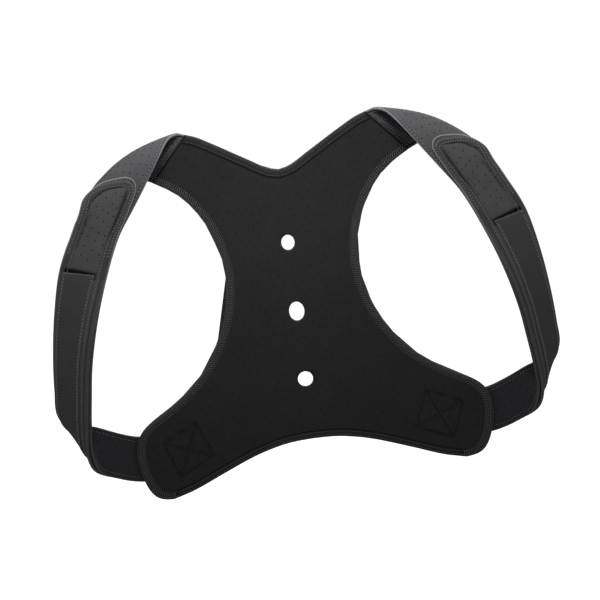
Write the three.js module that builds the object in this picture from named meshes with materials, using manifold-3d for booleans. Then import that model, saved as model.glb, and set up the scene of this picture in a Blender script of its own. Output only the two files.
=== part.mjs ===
// Posture corrector: an X-shaped neoprene back, two shoulder straps and their hidden rings.
// Millimetres. +X is right in the photo, +Y points away from the wearer's back, +Z is up.
// The origin is on the panel's inner face, on the spine between the upper two holes.
import * as THREE from 'three';
import { mergeVertices } from 'three/addons/utils/BufferGeometryUtils.js';
import Module from 'manifold-3d';

const PANEL_THICKNESS = 4;
const STRAP_THICKNESS = 3;
const FACING_THICKNESS = 1;
const PIECE_GAP = 0.35;
const LAYER_GAP = 1.0;

const PANEL_HALF_WIDTH = 173;
const PANEL_RISE = 155.5;
const PANEL_DROP = 194;

// How the panel hugs the back: it curves forward to each side, and leans forward at the top.
const HUG_DEPTH = 60;
const HUG_WIDTH = 90;
const LEAN_START = 60;
const LEAN_DEPTH = 18.24;

const PANEL_COLUMNS = 12;
const ARM_END_ROWS = 4;
const ARM_HOLE_ROWS = 36;
const STRAP_STEP = 11.5;
const ACROSS_SHARES = [-1, -0.8, -0.4, 0.05, 0.5, 0.78, 1];

// Right half of the panel's outline as four smooth edges. The arm end is the straight seam.
// x is a share of the half width; z a share of the rise above the origin, or of the drop below it.
const NECK_EDGE = [
  { x: 0, z: 0.698 },
  { x: 0.058, z: 0.714 },
  { x: 0.173, z: 0.791 },
  { x: 0.347, z: 0.913 },
  { x: 0.439, z: 0.974 },
  { x: 0.497, z: 1 },
];
const ARM_END = [
  { x: 0.497, z: 1 },
  { x: 0.711, z: 0.74 },
];
const ARM_HOLE = [
  { x: 0.711, z: 0.74 },
  { x: 0.584, z: 0.64 },
  { x: 0.494, z: 0.514 },
  { x: 0.413, z: 0.322 },
  { x: 0.379, z: 0.09 },
  { x: 0.402, z: -0.103 },
  { x: 0.471, z: -0.258 },
  { x: 0.595, z: -0.412 },
  { x: 0.751, z: -0.515 },
  { x: 0.896, z: -0.577 },
  { x: 0.965, z: -0.619 },
  { x: 1, z: -0.691 },
  { x: 1, z: -0.784 },
  { x: 0.96, z: -0.923 },
  { x: 0.913, z: -0.979 },
  { x: 0.838, z: -1 },
];
const ARCH_EDGE = [
  { x: 0, z: -0.866 },
  { x: 0.15, z: -0.87 },
  { x: 0.324, z: -0.894 },
  { x: 0.532, z: -0.943 },
  { x: 0.717, z: -0.987 },
  { x: 0.838, z: -1 },
];

// Round holes down the spine: places in pitches from the origin, sizes as shares of the hole size.
const HOLE_PITCH = 70;
const HOLE_SIZE = 15;
const SPINE_HOLES = [
  { place: 0.5, width: 0.867, height: 1 },
  { place: -0.5, width: 1, height: 1.267 },
  { place: -1.5, width: 1, height: 1 },
];

const RING_WIRE = 3.6;
const RING_GAP = 5.2;
const RING_CLEARANCE = 1.8;
const RING_CORNER = 3;
const RING_GAP_FROM = 13;

const RING_TAB_INSET = 29.5;
const RING_TAB_DROP = 0.778;
const RING_TAB_WIDTH = 37;
const RING_TAB_LENGTH = 37.5;
const RING_TAB_TAPER = 13.5;
const RING_TAB_EASE = 6;
const RING_TAB_THICKNESS = 2.6;
const RING_TAB_EYE = 3.7;
const RING_TAB_HOLE = 2.3;
const RING_REACH = 14.5;
const RING_TAB_X = PANEL_HALF_WIDTH - RING_TAB_INSET;
const RING_TAB_Z = -RING_TAB_DROP * PANEL_DROP;

const STRAP_OUT = 79.5;
const STRAP_FORWARD = 61;
const STRAP_BOW = 7;

// The strap's inner face, from the seam over the shoulder, down the front and back to the ring.
// inner is the edge nearer the neck and arm hole, outer the other edge. Each holds a share of
// STRAP_OUT out from the ring, of STRAP_FORWARD in front of the lobe, and of the panel's rise or
// drop. bow is the share of STRAP_BOW that the middle of the section lifts outward.
const STRAP_SECTIONS = [
  { at: 'seam', inner: [-0.906, -0.195, 1], outer: [-0.434, -0.089, 0.74], bow: 0.14 },
  { at: 'shoulder back', inner: [-0.818, -0.048, 1.01], outer: [-0.126, 0.198, 0.817], bow: 0.57 },
  { at: 'shoulder top', inner: [-0.704, 0.198, 0.99], outer: [0.164, 0.559, 0.791], bow: 1 },
  { at: 'shoulder front', inner: [-0.579, 0.509, 0.913], outer: [0.289, 0.723, 0.727], bow: 0.86 },
  { at: 'collarbone', inner: [-0.403, 0.723, 0.785], outer: [0.384, 0.805, 0.666], bow: 0.43 },
  { at: 'armpit', inner: [-0.226, 0.805, 0.656], outer: [0.478, 0.821, 0.598], bow: 0.14 },
  { at: 'upper chest', inner: [0.006, 0.821, 0.486], outer: [0.572, 0.821, 0.514], bow: 0 },
  { at: 'chest', inner: [0.226, 0.903, 0.238], outer: [0.73, 0.837, 0.341], bow: 0 },
  { at: 'ribs', inner: [0.39, 1.001, -0.005], outer: [0.855, 0.739, 0.071], bow: 0 },
  { at: 'lower ribs', inner: [0.516, 1.001, -0.201], outer: [0.943, 0.608, -0.16], bow: 0 },
  { at: 'side', inner: [0.579, 0.968, -0.351], outer: [0.987, 0.509, -0.32], bow: 0 },
  { at: 'under arm front', inner: [0.629, 0.936, -0.485], outer: [1, 0.444, -0.433], bow: 0 },
  { at: 'under arm', inner: [0.667, 0.837, -0.634], outer: [0.893, 0.362, -0.5], bow: 0 },
  { at: 'under arm back', inner: [0.616, 0.608, -0.758], outer: [0.604, 0.427, -0.541], bow: 0 },
  { at: 'behind lobe edge', inner: [0.453, 0.427, -0.814], outer: [0.352, 0.313, -0.598], bow: 0 },
  { at: 'behind lobe', inner: [0.239, 0.231, -0.861], outer: [0.151, 0.149, -0.642], bow: 0 },
  { at: 'ring', inner: [0, 0.018, -0.892], outer: [0, 0.018, -0.665], bow: 0 },
];

// The doubled-back layer: where its rounded tab ends, and how it sits over the inner layer.
const TAB_TIP = 3.35;
const TAB_SLANT = 0.55;
const TAB_CORNER = 0.72;
const TAB_INNER_REACH = 0.72;
const TAB_REACH_FROM = 3.2;
const TAB_REACH_TO = 6.8;

// The loop-fabric facing on the outer layer, from the slit line to just before the ring.
const FACING_TOP = 6.95;
const FACING_BOTTOM = 14.2;
const FACING_SLANT = -0.06;
const FACING_FIRST_STEP = 1;
const FACING_LAST_STEP = 4;
const FACING_LIFT = 1.2;

function panelPlace(row) {
  return { x: row.x * PANEL_HALF_WIDTH, z: row.z * (row.z > 0 ? PANEL_RISE : PANEL_DROP) };
}

function hugDepth(x, z) {
  const side = HUG_DEPTH * (Math.hypot(1, x / HUG_WIDTH) - 1);
  const lean = Math.max(0, z - LEAN_START) / (PANEL_RISE - LEAN_START);
  return -side - LEAN_DEPTH * lean ** 2;
}

function onPanel(x, z, height) {
  const reach = 0.5;
  const slopeX = (hugDepth(x + reach, z) - hugDepth(x - reach, z)) / (2 * reach);
  const slopeZ = (hugDepth(x, z + reach) - hugDepth(x, z - reach)) / (2 * reach);
  const outward = new THREE.Vector3(-slopeX, 1, -slopeZ).normalize();
  return new THREE.Vector3(x, hugDepth(x, z), z).addScaledVector(outward, height);
}

function smoothEdge(table, count) {
  const points = table.map(panelPlace).map(({ x, z }) => new THREE.Vector3(x, z, 0));
  if (points.length === 2) points.splice(1, 0, points[0].clone().lerp(points[1], 0.5));
  return new THREE.CatmullRomCurve3(points, false, 'centripetal').getSpacedPoints(count);
}

// A net of points that fills the right half: rows from the spine to the arm hole, columns between.
function halfNet() {
  const neck = smoothEdge(NECK_EDGE, PANEL_COLUMNS);
  const arch = smoothEdge(ARCH_EDGE, PANEL_COLUMNS);
  const far = [...smoothEdge(ARM_END, ARM_END_ROWS), ...smoothEdge(ARM_HOLE, ARM_HOLE_ROWS).slice(1)];
  const rows = far.length - 1;
  const spine = new THREE.LineCurve3(neck[0], arch[0]);
  return far.map((end, row) => neck.map((_, column) => {
    const down = row / rows;
    const out = column / PANEL_COLUMNS;
    const straight = spine.getPoint(down).lerp(end, out);
    const corners = neck[0].clone().lerp(far[0], out).lerp(arch[0].clone().lerp(far.at(-1), out), down);
    const edges = neck[column].clone().lerp(arch[column], down);
    return straight.add(edges).sub(corners);
  }));
}

// Splits every edge longer than maxEdge at its middle, until none is left.
function refined(points, triangles, maxEdge) {
  const middles = new Map();
  const middle = (a, b) => {
    if (points[a].distanceTo(points[b]) <= maxEdge) return -1;
    const key = `${Math.min(a, b)}_${Math.max(a, b)}`;
    if (!middles.has(key)) middles.set(key, points.push(points[a].clone().lerp(points[b], 0.5)) - 1);
    return middles.get(key);
  };
  const next = [];
  for (const [a, b, c] of triangles) {
    const corners = [a, middle(a, b), b, middle(b, c), c, middle(c, a)];
    const first = corners.findIndex((corner, i) => i % 2 === 1 && corner >= 0);
    if (first < 0) {
      next.push([a, b, c]);
      continue;
    }
    const loop = [...corners.slice(first), ...corners.slice(0, first)].filter((corner) => corner >= 0);
    if (loop.length === 6) {
      next.push([loop[0], loop[1], loop[2]], [loop[2], loop[3], loop[4]], [loop[4], loop[5], loop[0]]);
      next.push([loop[0], loop[2], loop[4]]);
    } else {
      for (let i = 1; i + 1 < loop.length; i += 1) next.push([loop[0], loop[i], loop[i + 1]]);
    }
  }
  return middles.size ? refined(points, next, maxEdge) : next;
}

// A flat shape made thick, cut fine enough to bend, and put in place point by point.
function bent(shape, depth, maxEdge, place) {
  const flat = new THREE.ExtrudeGeometry(shape, { depth, bevelEnabled: false, curveSegments: 14 });
  flat.deleteAttribute('normal');
  flat.deleteAttribute('uv');
  const merged = mergeVertices(flat, 1e-3);
  const spots = merged.attributes.position;
  const points = Array.from({ length: spots.count }, (_, i) => new THREE.Vector3().fromBufferAttribute(spots, i));
  const index = merged.index.array;
  const triangles = [];
  for (let i = 0; i < index.length; i += 3) triangles.push([index[i], index[i + 1], index[i + 2]]);
  const fine = refined(points, triangles, maxEdge);
  const placed = points.flatMap((point) => place(point.x, point.y, point.z).toArray());
  return solidOf(placed, fine.flat());
}

function solidOf(positions, index) {
  const geometry = new THREE.BufferGeometry();
  geometry.setAttribute('position', new THREE.Float32BufferAttribute(positions, 3));
  geometry.setIndex(index);
  if (volumeOf(geometry) < 0) geometry.setIndex([...index].reverse());
  geometry.computeVertexNormals();
  return geometry;
}

function volumeOf(geometry) {
  const spots = geometry.attributes.position;
  const index = geometry.index.array;
  const corner = (i) => new THREE.Vector3().fromBufferAttribute(spots, index[i]);
  let volume = 0;
  for (let i = 0; i < index.length; i += 3) {
    volume += corner(i).dot(corner(i + 1).cross(corner(i + 2)));
  }
  return volume;
}

// A net of flat points made into a bent slab.
function slab(net, low, high) {
  const columns = net[0].length;
  const flat = net.flat();
  const positions = [low, high].flatMap((height) => flat.flatMap((p) => onPanel(p.x, p.y, height).toArray()));
  const index = [];
  const quad = (a, b, c, d) => index.push(a, b, c, a, c, d);
  const top = flat.length;
  for (let row = 0; row + 1 < net.length; row += 1) {
    for (let column = 0; column + 1 < columns; column += 1) {
      const a = row * columns + column;
      quad(a, a + columns, a + columns + 1, a + 1);
      quad(top + a, top + a + 1, top + a + columns + 1, top + a + columns);
    }
    const left = row * columns;
    const right = left + columns - 1;
    quad(left, top + left, top + left + columns, left + columns);
    quad(right, right + columns, top + right + columns, top + right);
  }
  const last = (net.length - 1) * columns;
  for (let column = 0; column + 1 < columns; column += 1) {
    quad(column, column + 1, top + column + 1, top + column);
    quad(last + column, top + last + column, top + last + column + 1, last + column + 1);
  }
  return solidOf(positions, index);
}

const wasm = await Module();
wasm.setup();

function toSolid(geometry) {
  const bare = geometry.clone();
  bare.deleteAttribute('normal');
  bare.deleteAttribute('uv');
  const merged = mergeVertices(bare, 1e-4);
  return new wasm.Manifold(new wasm.Mesh({
    numProp: 3,
    vertProperties: Float32Array.from(merged.attributes.position.array),
    triVerts: Uint32Array.from(merged.index.array),
  }));
}

function backPanel() {
  const net = halfNet().map((row) => {
    const mirrored = row.slice(1).reverse().map((point) => new THREE.Vector3(-point.x, point.y, 0));
    return [...mirrored, ...row];
  });
  let solid = toSolid(slab(net, 0, PANEL_THICKNESS));
  for (const hole of SPINE_HOLES) {
    const punch = new THREE.CylinderGeometry(1, 1, 3 * PANEL_THICKNESS, 28);
    punch.scale((hole.width * HOLE_SIZE) / 2, 1, (hole.height * HOLE_SIZE) / 2);
    punch.translate(0, 0, hole.place * HOLE_PITCH);
    solid = solid.subtract(toSolid(punch));
  }
  const mesh = solid.getMesh();
  return solidOf(Array.from(mesh.vertProperties), Array.from(mesh.triVerts));
}

function strapPlace([out, forward, up]) {
  const lobe = hugDepth(RING_TAB_X, RING_TAB_Z);
  const x = RING_TAB_X + RING_REACH + out * STRAP_OUT;
  return new THREE.Vector3(x, lobe - forward * STRAP_FORWARD, panelPlace({ x: 0, z: up }).z);
}

function strapEdge(edge) {
  return new THREE.CatmullRomCurve3(STRAP_SECTIONS.map((row) => strapPlace(row[edge])), false, 'centripetal');
}

const INNER_EDGE = strapEdge('inner');
const OUTER_EDGE = strapEdge('outer');
const LAST = STRAP_SECTIONS.length - 1;

function easeBetween(value, from, to) {
  return THREE.MathUtils.smoothstep(value, from, to);
}

function ruledPoint(row, across) {
  const inner = INNER_EDGE.getPoint(THREE.MathUtils.clamp(row / LAST, 0, 1));
  const outer = OUTER_EDGE.getPoint(THREE.MathUtils.clamp(row / LAST, 0, 1));
  return outer.lerp(inner, (across + 1) / 2);
}

function outwardOf(surface, row, across) {
  const step = 0.02;
  const before = Math.max(0, row - step);
  const after = Math.min(LAST, row + step);
  const along = surface(after, across).sub(surface(before, across));
  const over = surface(row, across + step).sub(surface(row, across - step));
  return over.cross(along).normalize();
}

function bowedPoint(row, across) {
  const low = THREE.MathUtils.clamp(Math.floor(row), 0, LAST - 1);
  const bow = THREE.MathUtils.lerp(STRAP_SECTIONS[low].bow, STRAP_SECTIONS[low + 1].bow, row - low);
  const rise = bow * STRAP_BOW * (1 - across * across);
  return ruledPoint(row, across).addScaledVector(outwardOf(ruledPoint, row, across), rise);
}

// A point on the strap: row runs along the sections, across from -1 (outer) to 1 (inner edge).
function bandPoint(row, across, height) {
  const spot = bowedPoint(row, across).addScaledVector(outwardOf(bowedPoint, row, across), height);
  if (row >= 1) return spot;
  const [top, low] = ARM_END.map(panelPlace);
  const away = new THREE.Vector2(top.z - low.z, low.x - top.x).normalize().multiplyScalar(PIECE_GAP);
  const x = THREE.MathUtils.lerp(low.x, top.x, (across + 1) / 2) + away.x;
  const z = THREE.MathUtils.lerp(low.z, top.z, (across + 1) / 2) + away.y;
  return onPanel(x, z, height).lerp(spot, easeBetween(row, 0, 1));
}

function layerGap(row) {
  return THREE.MathUtils.lerp(LAYER_GAP, RING_GAP, easeBetween(row, RING_GAP_FROM, LAST));
}

function rowsBetween(from, to) {
  const rows = [];
  const direction = Math.sign(to - from);
  let row = from;
  while ((to - row) * direction > 0.01) {
    rows.push(row);
    const before = Math.max(0, row - 0.1);
    const after = Math.min(LAST, row + 0.1);
    const speed = bandPoint(after, 0, 0).distanceTo(bandPoint(before, 0, 0)) / (after - before);
    row += direction * Math.min(0.5, STRAP_STEP / speed);
  }
  rows.push(to);
  return rows;
}

const OUTER_ROWS = rowsBetween(LAST, TAB_TIP + TAB_CORNER);

// Joins rings of points into a closed solid with flat ends.
function loft(rings, side) {
  const count = rings[0].length;
  const positions = rings.flat().flatMap((point) => [point.x * side, point.y, point.z]);
  const index = [];
  for (let ring = 0; ring + 1 < rings.length; ring += 1) {
    for (let i = 0; i < count; i += 1) {
      const a = ring * count + i;
      const b = ring * count + ((i + 1) % count);
      index.push(a, b, b + count, a, b + count, a + count);
    }
  }
  const half = count / 2;
  const end = (rings.length - 1) * count;
  for (let i = 0; i + 1 < half; i += 1) {
    const far = count - 1 - i;
    index.push(i, far, far - 1, i, far - 1, i + 1);
    index.push(end + i, end + far - 1, end + far, end + i, end + i + 1, end + far - 1);
  }
  return solidOf(positions, index);
}

function acrossSteps(from, to) {
  return ACROSS_SHARES.map((share) => from + ((to - from) * (share + 1)) / 2);
}

// One ring round a layer: along its face side, then back along its other side.
function layerRing(steps, faceSide, otherSide) {
  return [...steps.map(faceSide), ...[...steps].reverse().map(otherSide)];
}

function tabReach(row) {
  const ease = easeBetween(row, TAB_REACH_FROM, TAB_REACH_TO);
  return { outer: -1, inner: THREE.MathUtils.lerp(TAB_INNER_REACH, 1, ease) };
}

function shoulderStrap(side) {
  const rings = [];
  const full = acrossSteps(-1, 1);
  for (const row of rowsBetween(0, LAST)) {
    rings.push(layerRing(full, (v) => bandPoint(row, v, 0), (v) => bandPoint(row, v, STRAP_THICKNESS)));
  }
  const bar = ringFrame();
  for (let degrees = 20; degrees < 180; degrees += 28) {
    const angle = THREE.MathUtils.degToRad(degrees);
    const turned = (radius) => (v) => bandPoint(LAST, v, STRAP_THICKNESS + RING_GAP / 2)
      .addScaledVector(bar.outward, -radius * Math.cos(angle))
      .addScaledVector(bar.along, radius * Math.sin(angle));
    rings.push(layerRing(full, turned(RING_GAP / 2 + STRAP_THICKNESS), turned(RING_GAP / 2)));
  }
  const outerRing = (row, narrow) => {
    const reach = tabReach(row);
    const middle = (reach.outer + reach.inner) / 2;
    const half = ((reach.inner - reach.outer) / 2) * narrow;
    const slant = TAB_SLANT * (1 - easeBetween(row, TAB_TIP, TAB_TIP + 3));
    const low = STRAP_THICKNESS + layerGap(row);
    const place = (height) => (v) => bandPoint(row + slant * v, v, height);
    return layerRing(acrossSteps(middle - half, middle + half), place(low + STRAP_THICKNESS), place(low));
  };
  for (const row of OUTER_ROWS) rings.push(outerRing(row, 1));
  for (const share of [0.75, 0.5, 0.28, 0.12, 0.03, 0]) {
    const roundness = Math.sqrt(1 - (1 - share) ** 2);
    rings.push(outerRing(TAB_TIP + TAB_CORNER * share, 0.42 + 0.58 * roundness));
  }
  return loft(rings, side);
}

function strapFacing(side) {
  const steps = acrossSteps(-1, 1).slice(FACING_FIRST_STEP, FACING_LAST_STEP + 1);
  const shared = OUTER_ROWS.filter((row) => row > FACING_TOP + 0.2 && row < FACING_BOTTOM - 0.1);
  const rings = [FACING_BOTTOM, ...shared, FACING_TOP].map((row) => {
    const slant = FACING_SLANT * (1 - easeBetween(row, FACING_TOP, FACING_TOP + 2));
    const lift = FACING_LIFT * (1 - easeBetween(row, FACING_TOP, FACING_TOP + 0.6));
    const low = 2 * STRAP_THICKNESS + layerGap(row) + PIECE_GAP + lift;
    return layerRing(steps,
      (v) => bandPoint(row + slant * v, v, low),
      (v) => bandPoint(row + slant * v, v, low + FACING_THICKNESS));
  });
  return loft(rings, side);
}

// The bar that the strap turns round, and the two directions that the turn lies in.
function ringFrame() {
  const across = ruledPoint(LAST, 1).sub(ruledPoint(LAST, -1)).normalize();
  const outward = outwardOf(ruledPoint, LAST, 0);
  const along = new THREE.Vector3().crossVectors(outward, across).normalize();
  const bar = bandPoint(LAST, 0, STRAP_THICKNESS + RING_GAP / 2);
  return { across, outward, along, bar };
}

function strapRing(side) {
  const { across, bar } = ringFrame();
  const eye = onPanel(RING_TAB_X, RING_TAB_Z, PANEL_THICKNESS + PIECE_GAP + RING_TAB_EYE);
  const along = eye.clone().sub(bar);
  along.addScaledVector(across, -along.dot(across));
  const length = along.length();
  along.normalize();
  const up = new THREE.Vector3().crossVectors(across, along).normalize();
  const half = ruledPoint(LAST, 1).distanceTo(ruledPoint(LAST, -1)) / 2 + RING_CLEARANCE + RING_WIRE / 2;
  const corners = [
    { along: RING_CORNER, across: half - RING_CORNER, turn: 90 },
    { along: length - RING_CORNER, across: half - RING_CORNER, turn: 0 },
    { along: length - RING_CORNER, across: RING_CORNER - half, turn: -90 },
    { along: RING_CORNER, across: RING_CORNER - half, turn: -180 },
  ];
  const path = [];
  for (const corner of corners) {
    for (const step of [90, 67.5, 45, 22.5, 0]) {
      const angle = THREE.MathUtils.degToRad(corner.turn + step);
      const aim = across.clone().multiplyScalar(Math.sin(angle)).addScaledVector(along, Math.cos(angle));
      const spot = bar.clone().addScaledVector(along, corner.along).addScaledVector(across, corner.across);
      path.push({ spot: spot.addScaledVector(aim, RING_CORNER), aim });
    }
  }
  return closedTube(path, up, RING_WIRE / 2, side);
}

function closedTube(path, up, radius, side) {
  const sides = 10;
  const positions = [];
  for (const { spot, aim } of path) {
    for (let i = 0; i < sides; i += 1) {
      const angle = (2 * Math.PI * i) / sides;
      const point = spot.clone().addScaledVector(aim, radius * Math.cos(angle));
      point.addScaledVector(up, radius * Math.sin(angle));
      positions.push(point.x * side, point.y, point.z);
    }
  }
  const index = [];
  for (let ring = 0; ring < path.length; ring += 1) {
    const next = (ring + 1) % path.length;
    for (let i = 0; i < sides; i += 1) {
      const j = (i + 1) % sides;
      index.push(ring * sides + i, ring * sides + j, next * sides + j);
      index.push(ring * sides + i, next * sides + j, next * sides + i);
    }
  }
  return solidOf(positions, index);
}

// A strip of webbing sewn flat on the lobe, with an eye at its outer end round the ring.
function ringTab(side) {
  const low = PANEL_THICKNESS + PIECE_GAP;
  const eyeHeight = low + RING_TAB_EYE;
  const shape = new THREE.Shape();
  const start = RING_TAB_X - RING_TAB_LENGTH;
  const crest = RING_TAB_X - RING_TAB_TAPER;
  const top = low + RING_TAB_THICKNESS;
  shape.moveTo(start, low);
  shape.lineTo(RING_TAB_X, low);
  shape.absarc(RING_TAB_X, eyeHeight, RING_TAB_EYE, -Math.PI / 2, Math.PI / 2, false);
  shape.quadraticCurveTo(crest + RING_TAB_EASE, top, crest, top);
  shape.lineTo(start, top);
  shape.closePath();
  const hole = new THREE.Path();
  hole.absarc(RING_TAB_X, eyeHeight, RING_TAB_HOLE, 0, 2 * Math.PI, true);
  shape.holes.push(hole);
  const edge = RING_TAB_Z - RING_TAB_WIDTH / 2;
  return bent(shape, RING_TAB_WIDTH, 19, (x, height, depth) => {
    const spot = onPanel(x, edge + depth, height);
    return spot.setX(spot.x * side);
  });
}

function piece(name, geometry, colour, roughness) {
  const material = new THREE.MeshStandardMaterial({ color: colour, roughness, metalness: 0 });
  material.name = `${name}_finish`;
  const mesh = new THREE.Mesh(geometry, material);
  mesh.name = name;
  return mesh;
}

const corrector = new THREE.Group();
corrector.name = 'posture_corrector';
corrector.add(piece('back_panel', backPanel(), 0x262627, 0.9));
for (const [word, side] of [['left', 1], ['right', -1]]) {
  corrector.add(piece(`shoulder_strap_${word}`, shoulderStrap(side), 0x3a3a3b, 0.88));
  corrector.add(piece(`strap_facing_${word}`, strapFacing(side), 0x343435, 0.95));
  corrector.add(piece(`strap_ring_${word}`, strapRing(side), 0x1b1b1c, 0.45));
  corrector.add(piece(`ring_tab_${word}`, ringTab(side), 0x232324, 0.85));
}

export default corrector;
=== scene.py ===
"""A black neoprene posture corrector, standing open as it is worn, seen from the wearer's front.

The cloth pieces are made in millimetres from the same named sizes as the frame, and turned to
metres as they are placed. Flat places on the panel are (x, z); a place on a strap is a row along
its sections and a share across, from -1 at the outer edge to 1 at the edge nearer the neck.
"""

import math

import bmesh
import bpy
import numpy as np
from mathutils import Matrix, Vector


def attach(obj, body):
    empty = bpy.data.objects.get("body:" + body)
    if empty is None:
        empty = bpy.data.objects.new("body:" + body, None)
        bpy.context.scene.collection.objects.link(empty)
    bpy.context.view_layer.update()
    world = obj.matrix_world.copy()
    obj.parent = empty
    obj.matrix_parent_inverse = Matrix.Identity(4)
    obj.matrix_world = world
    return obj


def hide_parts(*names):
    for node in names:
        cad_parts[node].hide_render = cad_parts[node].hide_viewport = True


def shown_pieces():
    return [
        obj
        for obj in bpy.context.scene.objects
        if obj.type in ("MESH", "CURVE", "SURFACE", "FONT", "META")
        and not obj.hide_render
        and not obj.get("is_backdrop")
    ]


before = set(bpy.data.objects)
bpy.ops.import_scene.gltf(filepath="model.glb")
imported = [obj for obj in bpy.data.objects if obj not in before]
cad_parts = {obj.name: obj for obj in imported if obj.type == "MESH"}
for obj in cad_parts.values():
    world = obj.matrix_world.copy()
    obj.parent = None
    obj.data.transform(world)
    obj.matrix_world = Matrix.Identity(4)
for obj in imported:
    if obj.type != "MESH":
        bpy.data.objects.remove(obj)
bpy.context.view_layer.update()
MM = 0.001

PANEL_THICKNESS = 4.0
STRAP_THICKNESS = 3.0
FACING_THICKNESS = 1.0
PIECE_GAP = 0.35
LAYER_GAP = 1.0
HUG_DEPTH = 60.0
HUG_WIDTH = 90.0
LEAN_START = 60.0
LEAN_DEPTH = 18.24

PANEL_HALF_WIDTH = 173.0
PANEL_RISE = 155.5
PANEL_DROP = 194.0


def panel_place(x, z):
    return (x * PANEL_HALF_WIDTH, z * (PANEL_RISE if z > 0 else PANEL_DROP))


# Right half of the panel's outline: x as a share of the half width, z of the rise or the drop.
NECK_EDGE = [(0, 0.698), (0.058, 0.714), (0.173, 0.791), (0.347, 0.913), (0.439, 0.974), (0.497, 1)]
ARM_END = [(0.497, 1), (0.711, 0.74)]
ARM_HOLE = [
    (0.711, 0.74), (0.584, 0.64), (0.494, 0.514), (0.413, 0.322), (0.379, 0.09), (0.402, -0.103),
    (0.471, -0.258), (0.595, -0.412), (0.751, -0.515), (0.896, -0.577), (0.965, -0.619), (1, -0.691),
    (1, -0.784), (0.96, -0.923), (0.913, -0.979), (0.838, -1),
]
ARCH_EDGE = [(0, -0.866), (0.15, -0.87), (0.324, -0.894), (0.532, -0.943), (0.717, -0.987), (0.838, -1)]
NECK_EDGE, ARM_END, ARM_HOLE, ARCH_EDGE = (
    [panel_place(x, z) for x, z in table] for table in (NECK_EDGE, ARM_END, ARM_HOLE, ARCH_EDGE)
)
HOLE_PITCH = 70.0
HOLE_SIZE = 15.0
HOLE_SHARES = [(0.5, 0.867, 1), (-0.5, 1, 1.267), (-1.5, 1, 1)]
SPINE_HOLES = [(place * HOLE_PITCH, w * HOLE_SIZE, h * HOLE_SIZE) for place, w, h in HOLE_SHARES]

RING_TAB_X = PANEL_HALF_WIDTH - 29.5
RING_TAB_Z = -0.778 * PANEL_DROP
RING_REACH = 14.5
STRAP_OUT = 79.5
STRAP_FORWARD = 61.0
STRAP_BOW = 7.0

# Each row: the neck-side edge, the outer edge, and how far the middle bows outward. The edges are
# shares of STRAP_OUT out from the ring, of STRAP_FORWARD ahead of the lobe, and of the rise or drop.
STRAP_SECTIONS = [
    ((-0.906, -0.195, 1), (-0.434, -0.089, 0.74), 0.14),
    ((-0.818, -0.048, 1.01), (-0.126, 0.198, 0.817), 0.57),
    ((-0.704, 0.198, 0.99), (0.164, 0.559, 0.791), 1),
    ((-0.579, 0.509, 0.913), (0.289, 0.723, 0.727), 0.86),
    ((-0.403, 0.723, 0.785), (0.384, 0.805, 0.666), 0.43),
    ((-0.226, 0.805, 0.656), (0.478, 0.821, 0.598), 0.14),
    ((0.006, 0.821, 0.486), (0.572, 0.821, 0.514), 0),
    ((0.226, 0.903, 0.238), (0.73, 0.837, 0.341), 0),
    ((0.39, 1.001, -0.005), (0.855, 0.739, 0.071), 0),
    ((0.516, 1.001, -0.201), (0.943, 0.608, -0.16), 0),
    ((0.579, 0.968, -0.351), (0.987, 0.509, -0.32), 0),
    ((0.629, 0.936, -0.485), (1, 0.444, -0.433), 0),
    ((0.667, 0.837, -0.634), (0.893, 0.362, -0.5), 0),
    ((0.616, 0.608, -0.758), (0.604, 0.427, -0.541), 0),
    ((0.453, 0.427, -0.814), (0.352, 0.313, -0.598), 0),
    ((0.239, 0.231, -0.861), (0.151, 0.149, -0.642), 0),
    ((0, 0.018, -0.892), (0, 0.018, -0.665), 0),
]
LAST = len(STRAP_SECTIONS) - 1

TAB_TIP = 3.35
TAB_SLANT = 0.55
TAB_CORNER = 0.72
TAB_SLANT_ROWS = 3.0
TAB_BORDER_END = 7.0
TAB_INNER_REACH = 0.72
TAB_REACH_FROM = 3.2
TAB_REACH_TO = 6.8
FACING_TOP = 6.95
FACING_BOTTOM = 14.2
FACING_SLANT = -0.06
FACING_FROM = -0.8
FACING_TO = 0.5
FACING_LIFT = 1.2
RING_WIRE = 3.6
RING_GAP = 5.2
RING_CLEARANCE = 1.8
RING_CORNER = 3.0
RING_GAP_FROM = 13
RING_TAB_WIDTH = 37.0
RING_TAB_THICKNESS = 2.6
RING_TAB_EYE = 3.7
RING_TAB_START = RING_TAB_X - 37.5
RING_TAB_TOP = RING_TAB_X - 13.5


def smooth(value, low, high):
    share = np.clip((np.asarray(value, float) - low) / (high - low), 0, 1)
    return share * share * (3 - 2 * share)


def unit(vectors):
    return vectors / np.linalg.norm(vectors, axis=-1, keepdims=True)


def lengths(line):
    """How far along a line of points each of them is."""
    return np.concatenate([[0], np.cumsum(np.linalg.norm(np.diff(line, axis=0), axis=1))])


def part_way(line, marks, places):
    """Where the places lie on a line of points, when its points lie at the marks."""
    return np.stack([np.interp(places, marks, line[:, i]) for i in range(line.shape[1])], axis=1)


def spline(points, share):
    """Places on the smooth curve through the points, at shares from 0 to 1 (centripetal)."""
    points = np.array(points, float)
    padded = np.vstack([2 * points[0] - points[1], points, 2 * points[-1] - points[-2]])
    place = np.clip(np.asarray(share, float), 0, 1) * (len(points) - 1)
    start = np.minimum(place.astype(int), len(points) - 2)
    w = (place - start)[..., None]
    a, b, c, d = (padded[start + i] for i in range(4))
    step = [np.linalg.norm(q - p, axis=-1, keepdims=True) ** 0.5 for p, q in ((a, b), (b, c), (c, d))]
    leave = ((b - a) / step[0] - (c - a) / (step[0] + step[1]) + (c - b) / step[1]) * step[1]
    arrive = ((c - b) / step[1] - (d - b) / (step[1] + step[2]) + (d - c) / step[2]) * step[1]
    return b + leave * w + (3 * (c - b) - 2 * leave - arrive) * w**2 + (2 * (b - c) + leave + arrive) * w**3


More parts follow.
